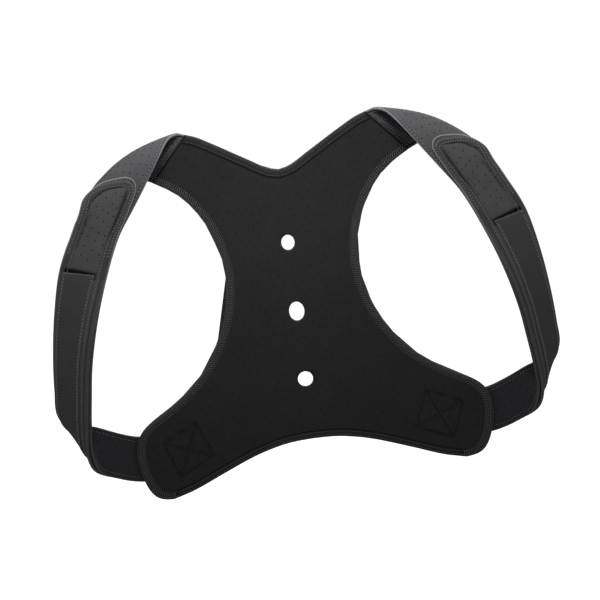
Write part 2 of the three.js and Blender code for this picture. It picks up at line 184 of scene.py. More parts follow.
def even(points, share):
    """Places on the same curve, evenly spread by length."""
    fine = np.linspace(0, 1, 401)
    line = spline(points, fine)
    run = lengths(line)
    return spline(points, np.interp(np.asarray(share) * run[-1], run, fine))


def nearest(spots, line):
    """How far each spot is from a line of points, measured to its straight pieces."""
    best = np.full(len(spots), 1e9)
    for a, b in zip(line[:-1], line[1:]):
        run = b - a
        share = np.clip(((spots - a) @ run) / max(run @ run, 1e-9), 0, 1)
        best = np.minimum(best, np.linalg.norm(spots - a - share[:, None] * run, axis=1))
    return best


# The panel


def hug(x, z):
    side = HUG_DEPTH * (np.hypot(1, x / HUG_WIDTH) - 1)
    lean = np.maximum(0, z - LEAN_START) / (PANEL_RISE - LEAN_START)
    return -side - LEAN_DEPTH * lean**2


def panel_out(x, z):
    slope_x = hug(x + 0.5, z) - hug(x - 0.5, z)
    slope_z = hug(x, z + 0.5) - hug(x, z - 0.5)
    return unit(np.stack([-slope_x, np.ones_like(slope_x), -slope_z], axis=-1))


def on_panel(x, z, height):
    x, z = np.broadcast_arrays(np.asarray(x, float), np.asarray(z, float))
    out = panel_out(x, z)
    return np.stack([x, hug(x, z), z], axis=-1) + out * np.broadcast_to(height, x.shape)[..., None]


HALF_COLUMNS = 84
HOLE_REACH = 2.3
ARM_END_SHARE = 0.1
NECK_HEM = 8.5
ARM_HEM = 7.5
ARCH_HEM = 8.0
HEM_FULLNESS = 0.28
EDGE_ROUND = 1.9


def softened(points, reach):
    """The curve through the points as 401 even places, with its slight corners rubbed off."""
    line = even(points, np.linspace(0, 1, 401))
    padded = np.vstack([2 * line[0] - line[reach:0:-1], line, 2 * line[-1] - line[-2:-reach - 2:-1]])
    window = np.hanning(2 * reach + 1)
    return np.stack([np.convolve(padded[:, i], window / window.sum(), "valid") for i in (0, 1)], axis=1)


ARM_CURVE = softened(ARM_HOLE, 15)
ARM_MARKS = np.linspace(0, 1, len(ARM_CURVE))
NECK_LINE = even(NECK_EDGE, np.linspace(0, 1, 90))
SEAM_LINE = np.array(ARM_END, float)
ARM_LINE = part_way(ARM_CURVE, ARM_MARKS, np.linspace(0, 1, 240))
ARCH_LINE = even(ARCH_EDGE, np.linspace(0, 1, 90))


def panel_rows():
    bands = [(0, 0.037, 17), (0.037, ARM_END_SHARE, 14), (ARM_END_SHARE, 0.93, 112), (0.93, 1, 26)]
    return np.concatenate([np.linspace(a, b, n, endpoint=False) for a, b, n in bands] + [[1.0]])


def panel_columns():
    even_share = np.linspace(0, 1, HALF_COLUMNS + 1)
    half = 0.55 * even_share + 0.45 * (1 - (1 - even_share) ** 2)
    return np.concatenate([-half[:0:-1], half])


def flat_place(out, down):
    """The flat place at a share out to the side and a share down from the neck (a Coons patch)."""
    side = np.where(out < 0, -1.0, 1.0)
    out = np.abs(out)[:, None]
    seam = even([ARM_END[0], np.mean(ARM_END, axis=0), ARM_END[1]], down / ARM_END_SHARE)
    hole = part_way(ARM_CURVE, ARM_MARKS, (down - ARM_END_SHARE) / (1 - ARM_END_SHARE))
    far = np.where((down < ARM_END_SHARE)[:, None], seam, hole)
    down = down[:, None]
    neck = even(NECK_EDGE, out[:, 0])
    arch = even(ARCH_EDGE, out[:, 0])
    spine = np.array(NECK_EDGE[0]) * (1 - down) + np.array(ARCH_EDGE[0]) * down
    straight = spine * (1 - out) + far * out
    top = np.array(NECK_EDGE[0]) * (1 - out) + np.array(NECK_EDGE[-1]) * out
    low = np.array(ARCH_EDGE[0]) * (1 - out) + np.array(ARCH_EDGE[-1]) * out
    flat = straight + neck * (1 - down) + arch * down - top * (1 - down) - low * down
    flat[:, 0] *= side
    return flat


BOX_CENTRE = (125.0, -149.0)
BOX_SIZE = (36.0, 40.0)
BOX_TURN = math.radians(-18.5)


def box_lines():
    """The sewn box on the right half's lobe: its four sides as one line, and its two diagonals."""
    half = np.array([[-1, 1], [1, 1], [1, -1], [-1, -1]]) * np.array(BOX_SIZE) / 2
    turn = np.array([[math.cos(BOX_TURN), -math.sin(BOX_TURN)], [math.sin(BOX_TURN), math.cos(BOX_TURN)]])
    a, b, c, d = half @ turn.T + np.array(BOX_CENTRE)
    return [np.array([a, b, c, d, a]), np.array([a, c]), np.array([b, d])]


BOX_LINES = box_lines()


def edge_profile(distance):
    """How full the thickness is at a distance from a cut edge: 0 at the edge, 1 past the rounding."""
    share = np.clip(distance / EDGE_ROUND, 0, 1)
    return np.sqrt(1 - (1 - share) ** 2)


def dip(distance, width):
    """A rounded groove as a share of its depth: 1 in its middle, and gone past about two widths."""
    return np.exp(-((distance / width) ** 2))


def hem_relief(distance, width, groove):
    """A sewn hem: a slightly full band beside the edge, then a pressed groove."""
    full = HEM_FULLNESS * smooth(distance, 0.6, 2.2) * (1 - smooth(distance, width - 1.0, width))
    return full - groove * dip(distance - width, 0.75)


def panel_shape(flat):
    """Distances that the panel's relief, colour and stitches follow, for flat places."""
    spots = np.stack([np.abs(flat[:, 0]), flat[:, 1]], axis=1)
    measured = {
        "neck": nearest(spots, NECK_LINE),
        "arm": nearest(spots, ARM_LINE),
        "arch": nearest(spots, ARCH_LINE),
        "seam": nearest(spots, SEAM_LINE),
        "box": np.min([nearest(spots, line) for line in BOX_LINES], axis=0),
    }
    rims = []
    for centre, width, height in SPINE_HOLES:
        dx = flat[:, 0] / (width / 2)
        dz = (flat[:, 1] - centre) / (height / 2)
        rims.append((np.hypot(dx, dz) - 1) * (width + height) / 4)
    measured["rim"] = np.min(rims, axis=0)
    measured["edge"] = np.min([measured[name] for name in ("neck", "arm", "arch", "rim")], axis=0)
    # The arm hem is sewn over the arch hem where they meet, at the lobe's lowest point.
    measured["arch_hem"] = measured["arch"] + 20 * (1 - smooth(measured["arm"], 6, 9))
    return measured


def panel_relief(measured):
    relief = hem_relief(measured["neck"], NECK_HEM, 0.75)
    relief += hem_relief(measured["arm"], ARM_HEM, 0.4)
    relief += hem_relief(measured["arch_hem"], ARCH_HEM, 0.5)
    relief -= 0.55 * dip(measured["box"], 1.1)
    relief -= 0.2 * dip(measured["rim"] - 2.4, 0.7)
    relief -= 0.5 * dip(measured["seam"], 0.8)
    return relief


def panel_press(measured):
    """Painted shade, from 0 to 1: where thread is pulled deep into the cloth and its channel lies in shadow;
    the arm hem's stitched band is darkened too.
    """
    neck = measured["neck"] - NECK_HEM
    arch = measured["arch_hem"] - ARCH_HEM
    lines = [(neck, 0.8), (arch, 0.6), (measured["seam"], 1.1)]
    deep = np.max([dip(away, width) for away, width in lines], axis=0)
    box = 0.75 * dip(measured["box"], 0.9)
    hem = 0.45 * smooth(measured["arm"], 0.8, 1.6) * (1 - smooth(measured["arm"], 6.6, 7.6))
    return np.max([deep, box, hem], axis=0)


def panel_wave(flat):
    """The slight unevenness of soft foam cloth, less than half a millimetre."""
    x, z = flat[:, 0], flat[:, 1]
    return 0.22 * np.sin(x / 23 + z / 41) * np.sin(z / 31 - x / 57) + 0.1 * np.sin(x / 9.5) * np.sin(z / 13)


def panel_heights(flat, measured):
    """The heights of the two faces over the inner one's smooth form."""
    full = edge_profile(measured["edge"])
    calm = smooth(measured["seam"], 0, 12)
    relief = panel_relief(measured)
    wave = panel_wave(flat) * calm
    half = PANEL_THICKNESS / 2
    inner = half - full * (half + relief) + wave
    outer = half + full * (half + relief) + wave
    return inner, outer


def grid_mesh(rows, columns):
    bm = bmesh.new()
    bmesh.ops.create_grid(bm, x_segments=columns - 1, y_segments=rows - 1, size=0.5)
    bm.verts.ensure_lookup_table()
    plane = np.array([v.co[:2] for v in bm.verts]) + 0.5
    column = np.rint(plane[:, 0] * (columns - 1)).astype(int)
    row = np.rint(plane[:, 1] * (rows - 1)).astype(int)
    return bm, row, column


def move_to(bm, places, side=1):
    """Moves the points to places in millimetres, mirrored for the side -1."""
    for vertex, place in zip(bm.verts, places * (side * MM, MM, MM)):
        vertex.co = place


def write_layers(bm, **values):
    """Values at each point that the material reads, such as its place in the flat cloth."""
    for name, data in values.items():
        kind = bm.verts.layers.float if np.ndim(data) == 1 else bm.verts.layers.float_vector
        layer = kind.new(name)
        for vertex, value in zip(bm.verts, data):
            vertex[layer] = value


def add_object(name, data):
    obj = bpy.data.objects.new(name, data)
    bpy.context.scene.collection.objects.link(obj)
    return obj


def finished_mesh(bm, name):
    mesh = bpy.data.meshes.new(name)
    bm.to_mesh(mesh)
    bm.free()
    return mesh


def close_up(bm, reach=0.004):
    """Joins points nearer than the reach, fills what stays open and turns all faces outward."""
    bmesh.ops.remove_doubles(bm, verts=bm.verts, dist=reach * MM)
    open_edges = [edge for edge in bm.edges if edge.is_boundary]
    if open_edges:
        bmesh.ops.holes_fill(bm, edges=open_edges, sides=0)
    bmesh.ops.recalc_face_normals(bm, faces=bm.faces)


def make_piece(bm, name, finish, replaced=()):
    mesh = finished_mesh(bm, name)
    for polygon in mesh.polygons:
        polygon.use_smooth = True
    mesh.materials.append(finish)
    obj = add_object(name, mesh)
    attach(obj, "root")
    if replaced:
        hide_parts(*replaced)
    return obj


def flat_places(bm):
    return np.array([v.co[:2] for v in bm.verts])


def set_flat(bm, flat):
    for vertex, (x, z) in zip(bm.verts, flat):
        vertex.co = (x, z, 0)


def open_hole(bm, centre, width, height):
    """Cuts a block of the grid away and bends what is round it, so that the gap becomes the round hole."""
    middle = np.array([0.0, centre])
    scale = np.array([width, height]) / 2
    away = (flat_places(bm) - middle) / scale
    bm.verts.index_update()
    square = np.abs(away).max(axis=1)
    inside = [f for f in bm.faces if sum(square[v.index] for v in f.verts) < 4 * 0.98]
    bmesh.ops.delete(bm, geom=inside, context="FACES")
    away = (flat_places(bm) - middle) / scale
    square = np.abs(away).max(axis=1)
    length = np.hypot(*away.T)
    pull = 1 - smooth(square, 1, HOLE_REACH)
    away *= (1 + (square / length - 1) * pull)[:, None]
    for number, vertex in enumerate(bm.verts):
        reach = math.hypot(*away[number])
        if vertex.is_boundary and reach < 1.8:
            away[number] /= reach
    set_flat(bm, middle + away * scale)


def panel_face():
    """One face of the panel as an open grid with its three holes, still flat."""
    downs = panel_rows()
    outs = panel_columns()
    bm, row, column = grid_mesh(len(downs), len(outs))
    set_flat(bm, flat_place(outs[column], downs[row]))
    for centre, width, height in SPINE_HOLES:
        open_hole(bm, centre, width, height)
    return bm


def back_panel(finish):
    whole = bmesh.new()
    for which in (0, 1):
        bm = panel_face()
        flat = flat_places(bm)
        measured = panel_shape(flat)
        height = panel_heights(flat, measured)[which]
        move_to(bm, on_panel(flat[:, 0], flat[:, 1], height))
        if which == 0:
            bmesh.ops.reverse_faces(bm, faces=bm.faces)
        part = finished_mesh(bm, "panel_face")
        whole.from_mesh(part)
        bpy.data.meshes.remove(part)
    close_up(whole, 0.02)
    flat = unbent(np.array([v.co for v in whole.verts]) / MM)
    measured = panel_shape(flat)
    cloth = np.column_stack([flat, np.zeros(len(flat))])
    # The rim distance carries a painted highlight along the cut edges and hole rims.
    write_layers(whole, cloth=cloth, rim=measured["edge"], press=panel_press(measured))
    return make_piece(whole, "panel_cloth", finish, ["back_panel"])


def unbent(spots):
    """The flat place of a point on the panel, near enough for patterns."""
    flat = spots[:, [0, 2]].copy()
    for _ in range(2):
        out = panel_out(flat[:, 0], flat[:, 1])
        height = ((spots[:, 1] - hug(flat[:, 0], flat[:, 1])) * out[:, 1])[:, None]
        flat = spots[:, [0, 2]] - out[:, [0, 2]] * height
    return flat


# The straps


def strap_edge(end):
    points = []
    for section in STRAP_SECTIONS:
        out, forward, up = section[end]
        x = RING_TAB_X + RING_REACH + out * STRAP_OUT
        y = float(hug(RING_TAB_X, RING_TAB_Z)) - forward * STRAP_FORWARD
        points.append((x, y, panel_place(0, up)[1]))
    return points


INNER_EDGE = strap_edge(0)
OUTER_EDGE = strap_edge(1)
BOWS = [section[2] * STRAP_BOW for section in STRAP_SECTIONS]


def ruled(row, across):
    inner = spline(INNER_EDGE, row / LAST)
    outer = spline(OUTER_EDGE, row / LAST)
    return outer + (inner - outer) * ((across + 1) / 2)[..., None]


def outward(surface, row, across):
    step = 0.02
    along = surface(np.minimum(row + step, LAST), across) - surface(np.maximum(row - step, 0), across)
    over = surface(row, across + step) - surface(row, across - step)
    return unit(np.cross(over, along))


def bowed(row, across):
    rise = np.interp(row, np.arange(LAST + 1), BOWS) * (1 - across**2)
    return ruled(row, across) + outward(ruled, row, across) * rise[..., None]


def band(row, across, height):
    """A place on the strap: row along its sections, share across, and height over its inner side."""
    row, across, height = (np.asarray(a, float) for a in np.broadcast_arrays(row, across, height))
    spot = bowed(row, across) + outward(bowed, row, across) * height[..., None]
    aside = unit(np.array([ARM_END[0][1] - ARM_END[1][1], ARM_END[1][0] - ARM_END[0][0]])) * PIECE_GAP
    share = (across + 1) / 2
    x = ARM_END[1][0] + (ARM_END[0][0] - ARM_END[1][0]) * share + aside[0]
    z = ARM_END[1][1] + (ARM_END[0][1] - ARM_END[1][1]) * share + aside[1]
    seam = on_panel(x, z, height)
    ease = smooth(row, 0, 1)[..., None]
    return np.where((row < 1)[..., None], seam + (spot - seam) * ease, spot)


def layer_gap(row):
    return LAYER_GAP + (RING_GAP - LAYER_GAP) * smooth(row, RING_GAP_FROM, LAST)


def rows_between(start, end, step):
    """Rows along the strap with about the same step in millimetres."""
    fine = np.linspace(start, end, 600)
    line = band(fine, np.zeros_like(fine), 0.0)
    run = lengths(line)
    count = max(2, int(round(run[-1] / step)))
    return np.interp(np.linspace(0, run[-1], count + 1), run, fine)


def half_width(row):
    """Half the band's width at each row, in millimetres."""
    every = np.ones(len(row))
    return np.linalg.norm(ruled(row, every) - ruled(row, -every), axis=1) / 2


FINE_ROWS = np.linspace(0, LAST, 900)
FINE_RUN = lengths(band(FINE_ROWS, np.zeros(900), 0.0))
FINE_HALF = half_width(FINE_ROWS)


def run_at(row):
    """Millimetres along the inner layer to each row."""
    return np.interp(row, FINE_ROWS, FINE_RUN)


def row_at(run):
    return np.interp(run, FINE_RUN, FINE_ROWS)


def half_at(row):
    return np.interp(row, FINE_ROWS, FINE_HALF)


def bar_frame():
    """The ring's bar that the strap turns round, and the two directions of the turn."""
    last = np.array([float(LAST)])
    middle = np.array([0.0])
    across = unit(ruled(last, np.array([1.0])) - ruled(last, np.array([-1.0])))[0]
    out = outward(ruled, last, middle)[0]
    along = unit(np.cross(out, across))
    bar = band(last, middle, STRAP_THICKNESS + RING_GAP / 2)[0]
    return across, out, along, bar


# Distances from the edge of a strap's section, in millimetres for a band 48 mm wide.
SECTION_STEPS = [1.4, 2.2, 3.2, 4.0, 4.7, 5.4, 6.2, 7.4, 9.5, 12.5, 16.0, 20.0]
SECTION_HALF = 24.0
STRAP_STEP = 2.2
STRAP_ROUND = 1.4
STRAP_BORDER = 4.6
TAB_BORDER = 7.5
INNER, TURN, OUTER = 0, 1, 2


def section_points():
    """One trip round a strap's section: share across, depth below its face as a share, side."""
    flats = [-(1 - d / SECTION_HALF) for d in SECTION_STEPS]
    flats = flats + [0.0] + [-v for v in flats[::-1]]
    turn = np.radians([60, 35, 12, -12, -35, -60])
    rim = [(math.cos(a), (1 - math.sin(a)) / 2) for a in turn]
    points = [(v, 0.0, 0.0) for v in flats]
    points += [(1.0, depth, cosine) for cosine, depth in rim]
    points += [(v, 1.0, 0.0) for v in flats[::-1]]
    points += [(-1.0, depth, cosine) for cosine, depth in rim[::-1]]
    return np.array(points)


def layer_reach(row, width, outer=True):
    """A layer's middle and half width at a row, as shares across; the outer one narrows to its tab."""
    neck_side = TAB_INNER_REACH + (1 - TAB_INNER_REACH) * smooth(row, TAB_REACH_FROM, TAB_REACH_TO)
    neck_side = np.where(outer, neck_side, 1.0)
    return (neck_side - 1) / 2, (neck_side + 1) / 2 * width


def tab_slant(row):
    """How much further along the band the tab's neck side lies than its middle, in rows."""
    return TAB_SLANT * (1 - smooth(row, TAB_TIP, TAB_TIP + TAB_SLANT_ROWS))


def tab_stations():
    """The outer layer's rows from the ring to the tab's tip, with its width and fullness there."""
    rows = rows_between(LAST, TAB_TIP + TAB_CORNER, STRAP_STEP)
    stations = [(row, 1.0, 1.0) for row in rows]
    for turn in np.radians(np.linspace(8, 82, 12)):
        row = TAB_TIP + TAB_CORNER * (1 - math.sin(turn))
        stations.append((row, 0.3 + 0.7 * math.cos(turn) ** 0.9, 1.0))
    tip = stations[-1]
    stations.append((TAB_TIP + 0.004, tip[1] * 0.96, 0.8))
    stations.append((TAB_TIP - 0.008, tip[1] * 0.9, 0.45))
    stations.append((TAB_TIP - 0.012, tip[1] * 0.85, 0.0))
    return stations


def strap_stations():
    """Every section along the strap, in order: layer, row or turn angle, width share, fullness."""
    stations = [(INNER, row, 1.0, 1.0) for row in rows_between(0, LAST, STRAP_STEP)]
    stations += [(TURN, angle, 1.0, 1.0) for angle in np.radians(np.linspace(12, 168, 12))]
    stations += [(OUTER, row, width, full) for row, width, full in tab_stations()]
    return stations


def strap_place(layer, value, across, depth):
    """Where a strap point lies, from its layer, row or turn angle, share across and depth."""
    if layer == INNER:
        return band(value, across, depth)
    if layer == OUTER:
        low = STRAP_THICKNESS + layer_gap(value)
        return band(value, across, low + STRAP_THICKNESS - depth)
    _, out, along, _ = bar_frame()
    radius = RING_GAP / 2 + STRAP_THICKNESS - depth
    middle = band(np.full_like(across, LAST), across, STRAP_THICKNESS + RING_GAP / 2)
    return middle - out * (radius * np.cos(value))[:, None] + along * (radius * np.sin(value))[:, None]


def strap_edge_relief(distance, tab):
    """Pressed stitch line beside the edge; round the tab's border it is deeper and further in."""
    line = np.where(tab, TAB_BORDER, STRAP_BORDER)
    depth = np.where(tab, 0.55, 0.32)
    full = 0.12 * smooth(distance, 0.5, 2) * (distance < line)
    return full - depth * dip(distance - line, 0.8)


def shoulder_strap(side, word, finish):
    stations = strap_stations()
    section = section_points()
    count = len(section)
    bm, row, column = grid_mesh(len(stations), count + 1)
    around = section[column % count]
    kind, value, width, full = (np.array(part)[row] for part in zip(*stations))
    place_row = np.where(kind == TURN, LAST, value)
    middle, half = layer_reach(place_row, width, kind == OUTER)
    size = half_width(place_row)
    inset = np.where(around[:, 2] > 0, STRAP_ROUND * (1 - around[:, 2]) / size, 0)
    share = around[:, 0] * (half - inset)
    across = middle + share
    distance = (half - np.abs(share)) * size
    slant = np.where(kind == OUTER, tab_slant(place_row), 0)
    tip_distance = np.where(kind == OUTER, tip_away(place_row, across, slant), 99)
    edge = np.minimum(distance, tip_distance)
    tab = (kind == OUTER) & (place_row < TAB_BORDER_END)
    flat_part = around[:, 2] == 0
    on_face = around[:, 1] == 0
    relief = strap_edge_relief(edge, tab) * flat_part
    relief *= smooth(full, 0.5, 1)
    depth = around[:, 1] * STRAP_THICKNESS
    depth = STRAP_THICKNESS / 2 + (depth - STRAP_THICKNESS / 2) * full
    depth = depth - np.where(on_face, relief, 0) + np.where(around[:, 1] == 1, relief * 0.6, 0)
    places = np.zeros((len(row), 3))
    along = value + slant * across
    for layer in (INNER, TURN, OUTER):
        use = kind == layer
        places[use] = strap_place(layer, along[use], across[use], depth[use])
    move_to(bm, places, side)
    # Painted shade: the stitch grooves, the seam line at the shoulder and the tab's stitched border are
    # coloured darker.
    groove = dip(edge - np.where(tab, TAB_BORDER, STRAP_BORDER), 0.8) * np.where(tab, 1, 0.5)
    press = np.maximum(groove, dip(place_row, 0.05)) * flat_part
    # Painted shadow on the top layer just above the facing's raised top edge, where the layer dips into the
    # facing's mouth.
    above = run_at(FACING_TOP) - run_at(place_row)
    beside = (across > FACING_FROM) & (across < FACING_TO) & (kind == OUTER) & on_face
    press = np.maximum(press, 0.35 * tab * smooth(edge, 1.2, 2.2) * (1 - smooth(edge, 6.4, 7.2)))
    press = np.maximum(press, (1 - smooth(above, 1.5, 4.5)) * (above > -3) * beside)
    write_layers(
        bm,
        cloth=np.column_stack([across * SECTION_HALF, run_along(stations)[row], kind * 10.0]),
        # Painted highlight along the strap's edges, fading out from row 6 to row 9 so that only the upper
        # strap has it.
        rim=edge + 1.5 * smooth(place_row, 6, 9),
        press=press,
        # Painted shade: the inner layer's face towards the body is coloured darker than the rest of the
        # strap, though it is the same cloth.
        lining=((kind == INNER) & on_face & flat_part).astype(float),
    )
    close_up(bm)
    name = f"strap_cloth_{word}"
    return make_piece(bm, name, finish, [f"shoulder_strap_{word}"])


def tip_away(row, across, slant):
    """How far a place on the outer layer is from the tab's rounded tip, in millimetres."""
    outline = tab_outline()
    spots = band(row + slant * across, across, STRAP_THICKNESS)
    near = row < TAB_TIP + TAB_SLANT_ROWS
    away = np.full(len(row), 99.0)
    away[near] = nearest(spots[near], outline)
    return away


def round_tab(stations):
    """Rows and shares across, up the outer layer's one side, round its tab and down the other."""
    row, width, _ = np.array(stations).T
    middle, half = layer_reach(row, width)
    across = np.concatenate([middle - half, (middle + half)[::-1]])
    return np.concatenate([row, row[::-1]]), across


def tab_outline():
    """Points round the tab's end on its middle height, from one side to the other."""
    row, across = round_tab([station for station in tab_stations() if station[0] <= TAB_TIP + 3.2])
    return band(row + tab_slant(row) * across, across, STRAP_THICKNESS)


def run_along(stations):
    """Millimetres along the strap to each station."""
    middle = []
    for layer, value, _, _ in stations:
        spot = strap_place(layer, np.array([value]), np.array([0.0]), np.array([STRAP_THICKNESS / 2]))
        middle.append(spot[0])
    return lengths(np.array(middle))


def facing_seat(row):
    """The facing's slant in rows, and how high its underside is over the band's inner side."""
    slant = FACING_SLANT * (1 - smooth(row, FACING_TOP, FACING_TOP + 2))
    lift = FACING_LIFT * (1 - smooth(row, FACING_TOP, FACING_TOP + 0.6))
    return slant, 2 * STRAP_THICKNESS + layer_gap(row) + PIECE_GAP + lift


def strap_facing(side, word, finish):
    rows = rows_between(FACING_BOTTOM, FACING_TOP, 2.0)
    flats = np.linspace(-0.97, 0.97, 15)
    points = [(v, 1.0) for v in flats] + [(1.0, 0.75), (1.0, 0.25)]
    points += [(v, 0.0) for v in flats[::-1]] + [(-1.0, 0.25), (-1.0, 0.75)]
    section = np.array(points)
    bm, row, column = grid_mesh(len(rows), len(section) + 1)
    around = section[column % len(section)]
    value = rows[row]
    middle = (FACING_FROM + FACING_TO) / 2
    across = middle + around[:, 0] * (FACING_TO - FACING_FROM) / 2
    slant, low = facing_seat(value)
    places = band(value + slant * across, across, low + FACING_THICKNESS * around[:, 1])
    move_to(bm, places, side)
    along = run_at(value)
    wide = half_at(value)
    from_side = (1 - np.abs(around[:, 0])) * (FACING_TO - FACING_FROM) / 2 * wide
    write_layers(
        bm,
        cloth=np.column_stack([across * wide, along, np.zeros(len(row))]),
        # Painted highlight along the facing's sides and its raised top edge.
        rim=np.minimum(from_side, along - run_at(FACING_TOP)),
    )
    close_up(bm)
    return make_piece(bm, f"facing_cloth_{word}", finish, [f"strap_facing_{word}"])


def strap_ring(side, word, finish):
    across, _, _, bar = bar_frame()
    eye = on_panel(RING_TAB_X, RING_TAB_Z, PANEL_THICKNESS + PIECE_GAP + RING_TAB_EYE)
    along = eye - bar
    along = along - across * (along @ across)
    length = np.linalg.norm(along)
    along = along / length
    up = unit(np.cross(across, along))
    half = half_width(np.array([float(LAST)]))[0] + RING_CLEARANCE + RING_WIRE / 2
    corners = [
        (RING_CORNER, half - RING_CORNER, 180), (length - RING_CORNER, half - RING_CORNER, 90),
        (length - RING_CORNER, RING_CORNER - half, 0), (RING_CORNER, RING_CORNER - half, -90),
    ]
    path = []
    for out, over, turn in corners:
        for step in np.radians(np.linspace(turn, turn - 90, 9)):
            aim = across * math.sin(step) + along * math.cos(step)
            path.append((bar + along * out + across * over + aim * RING_CORNER, aim))
    sides = 20
    bm, row, column = grid_mesh(len(path) + 1, sides + 1)
    spots, aims = (np.array(part)[row % len(path)] for part in zip(*path))
    angle = 2 * math.pi * (column % sides) / sides
    radius = RING_WIRE / 2
    places = spots + aims * (radius * np.cos(angle))[:, None] + up * (radius * np.sin(angle))[:, None]
    move_to(bm, places, side)
    close_up(bm)
    return make_piece(bm, f"ring_{word}", finish, [f"strap_ring_{word}"])


RING_TAB_PLY = RING_TAB_THICKNESS / 2 - 0.05


def ring_tab_line():
    """The strip's middle as places out from the spine and over the lobe, and the millimetres along it."""
    ply = RING_TAB_PLY
    low = PANEL_THICKNESS + PIECE_GAP
    eye_height = low + RING_TAB_EYE
    middle = RING_TAB_EYE - ply / 2
    line = [(x, low + ply / 2) for x in np.linspace(RING_TAB_START, RING_TAB_X, 20)]
    for angle in np.radians(np.linspace(-80, 90, 14)):
        line.append((RING_TAB_X + middle * math.cos(angle), eye_height + middle * math.sin(angle)))
    top = low + 1.5 * ply + 0.1
    crest = line[-1]
    for share in np.linspace(0.1, 1, 10):
        x = RING_TAB_X - share * (RING_TAB_X - RING_TAB_TOP)
        line.append((x, top + (crest[1] - top) * (1 - float(smooth(share, 0, 1)))))
    line += [(x, top) for x in np.linspace(RING_TAB_TOP, RING_TAB_START, 14)[1:]]
    line = np.array(line)
    return line, lengths(line)


def ring_tab(side, word, finish):
    """Webbing folded round the ring and sewn flat on the lobe: two layers, one strip."""
    ply = RING_TAB_PLY
    line, run = ring_tab_line()
    bm, row, column = grid_mesh(len(line), 25)
    z = RING_TAB_Z + (column / 24 - 0.5) * (RING_TAB_WIDTH - ply)
    places = on_panel(line[row, 0], z, line[row, 1])
    move_to(bm, places, side)
    across = column * RING_TAB_WIDTH / 24
    write_layers(
        bm,
        cloth=np.column_stack([run[row], across, np.zeros(len(row))]),
        # Painted highlight along the webbing's two edges.
        rim=np.minimum(across, RING_TAB_WIDTH - across),
    )
    obj = make_piece(bm, f"ring_webbing_{word}", finish, [f"ring_tab_{word}"])
    thick = obj.modifiers.new("thickness", "SOLIDIFY")
    thick.thickness = ply * MM
    thick.offset = 0
    thick.use_even_offset = True
    round_edge = obj.modifiers.new("round_edge", "BEVEL")
    round_edge.width = 0.35 * MM
    round_edge.segments = 2
    round_edge.limit_method = "ANGLE"
    round_edge.angle_limit = math.radians(50)
    return obj


# Stitches and pinholes

# Thickness of the threads, then pitch and length of the stitches, in millimetres.
THREAD = 0.75
ARM_STITCH = (2.3, 1.7)
ARM_ZIGZAG = (2.3, 5.4)
HEM_STITCH = (2.6, 1.9)
BOX_STITCH = (3.4, 2.7)
STRAP_STITCH = (3.0, 2.0)
TAB_ZIGZAG = (2.6, 3.6)
SEAM_STITCH = (1.9, 1.5)
SEAM_ZIGZAG = (1.9, 8.5)
FACING_ZIGZAG = (3.2, 2.9)
PINHOLE = 1.15
PINHOLE_PITCH = 9.4
PINHOLE_STRAY = 1.0


def copies_of(template, count):
    """A mesh of count copies of the template, one after another, still on top of each other."""
    source = add_object("template", template)
    array = source.modifiers.new("copies", "ARRAY")
    array.count = count
    array.use_relative_offset = False
    copies = bpy.data.meshes.new_from_object(source.evaluated_get(bpy.context.evaluated_depsgraph_get()))
    bpy.data.objects.remove(source)
    return copies


def scatter(name, shape, places, finish):
    """One piece of many small copies of a shape; places holds middle, size, and the three ways it turns."""
    corners = np.array([v.co for v in shape.verts])
    template = finished_mesh(shape, "template")
    middle, size, turn = places
    spots = middle[:, None] + np.einsum("ci,ni,nij->ncj", corners, size, turn)
    copies = copies_of(template, len(middle))
    copies.vertices.foreach_set("co", (spots * MM).ravel())
    bm = bmesh.new()
    bm.from_mesh(copies)
    bpy.data.meshes.remove(copies)
    return make_piece(bm, name, finish)


def stitches(name, rows, finish, thread=THREAD):
    """Small rounded threads; each row is a middle, an end-to-end vector and the way out of the cloth."""
    bm = bmesh.new()
    bmesh.ops.create_uvsphere(bm, u_segments=6, v_segments=5, radius=0.5)
    middle, along, out = (np.array(part) for part in zip(*rows))
    x = unit(along)
    z = unit(out - x * np.sum(x * out, axis=1)[:, None])
    length = np.maximum(np.linalg.norm(along, axis=1), thread)
    size = np.stack([length, np.full(len(x), thread), np.full(len(x), thread)], axis=1)
    return scatter(name, bm, (middle, size, np.stack([x, np.cross(z, x), z], axis=1)), finish)


def pinholes(name, spots, out, finish, slot):
    """The cloth's punched air holes, as thin discs let into its face and painted with the shadow inside each
    hole.
    """
    bm = bmesh.new()
    bmesh.ops.create_cone(bm, cap_ends=True, segments=8, radius1=0.5, radius2=0.5, depth=0.1)
    z = unit(out)
    x = unit(np.cross(z, np.array([0.3, 0.2, 0.93])))
    size = np.full((len(z), 3), PINHOLE)
    turn = np.stack([x, np.cross(z, x), z], axis=1)
    return scatter(name, bm, (spots + z * 0.02, size, turn), finish)


def staggered(low, high, pitch):
    """A staggered pattern of flat places between two corners."""
    rows = np.arange(low[1], high[1], pitch * 0.87)
    found = []
    for number, z in enumerate(rows):
        x = np.arange(low[0] + (number % 2) * pitch / 2, high[0], pitch)
        found.append(np.stack([x, np.full(len(x), z)], axis=1))
    found = np.concatenate(found)
    return found + np.random.default_rng(7).uniform(-PINHOLE_STRAY, PINHOLE_STRAY, found.shape)


def panel_point(flat, face):
    """A point on the panel's inner (0) or outer (1) face, relief included, and its way out."""
    flat = np.atleast_2d(flat)
    height = panel_heights(flat, panel_shape(flat))[face]
    out = panel_out(flat[:, 0], flat[:, 1]) * (1 if face else -1)
    return on_panel(flat[:, 0], flat[:, 1], height), out


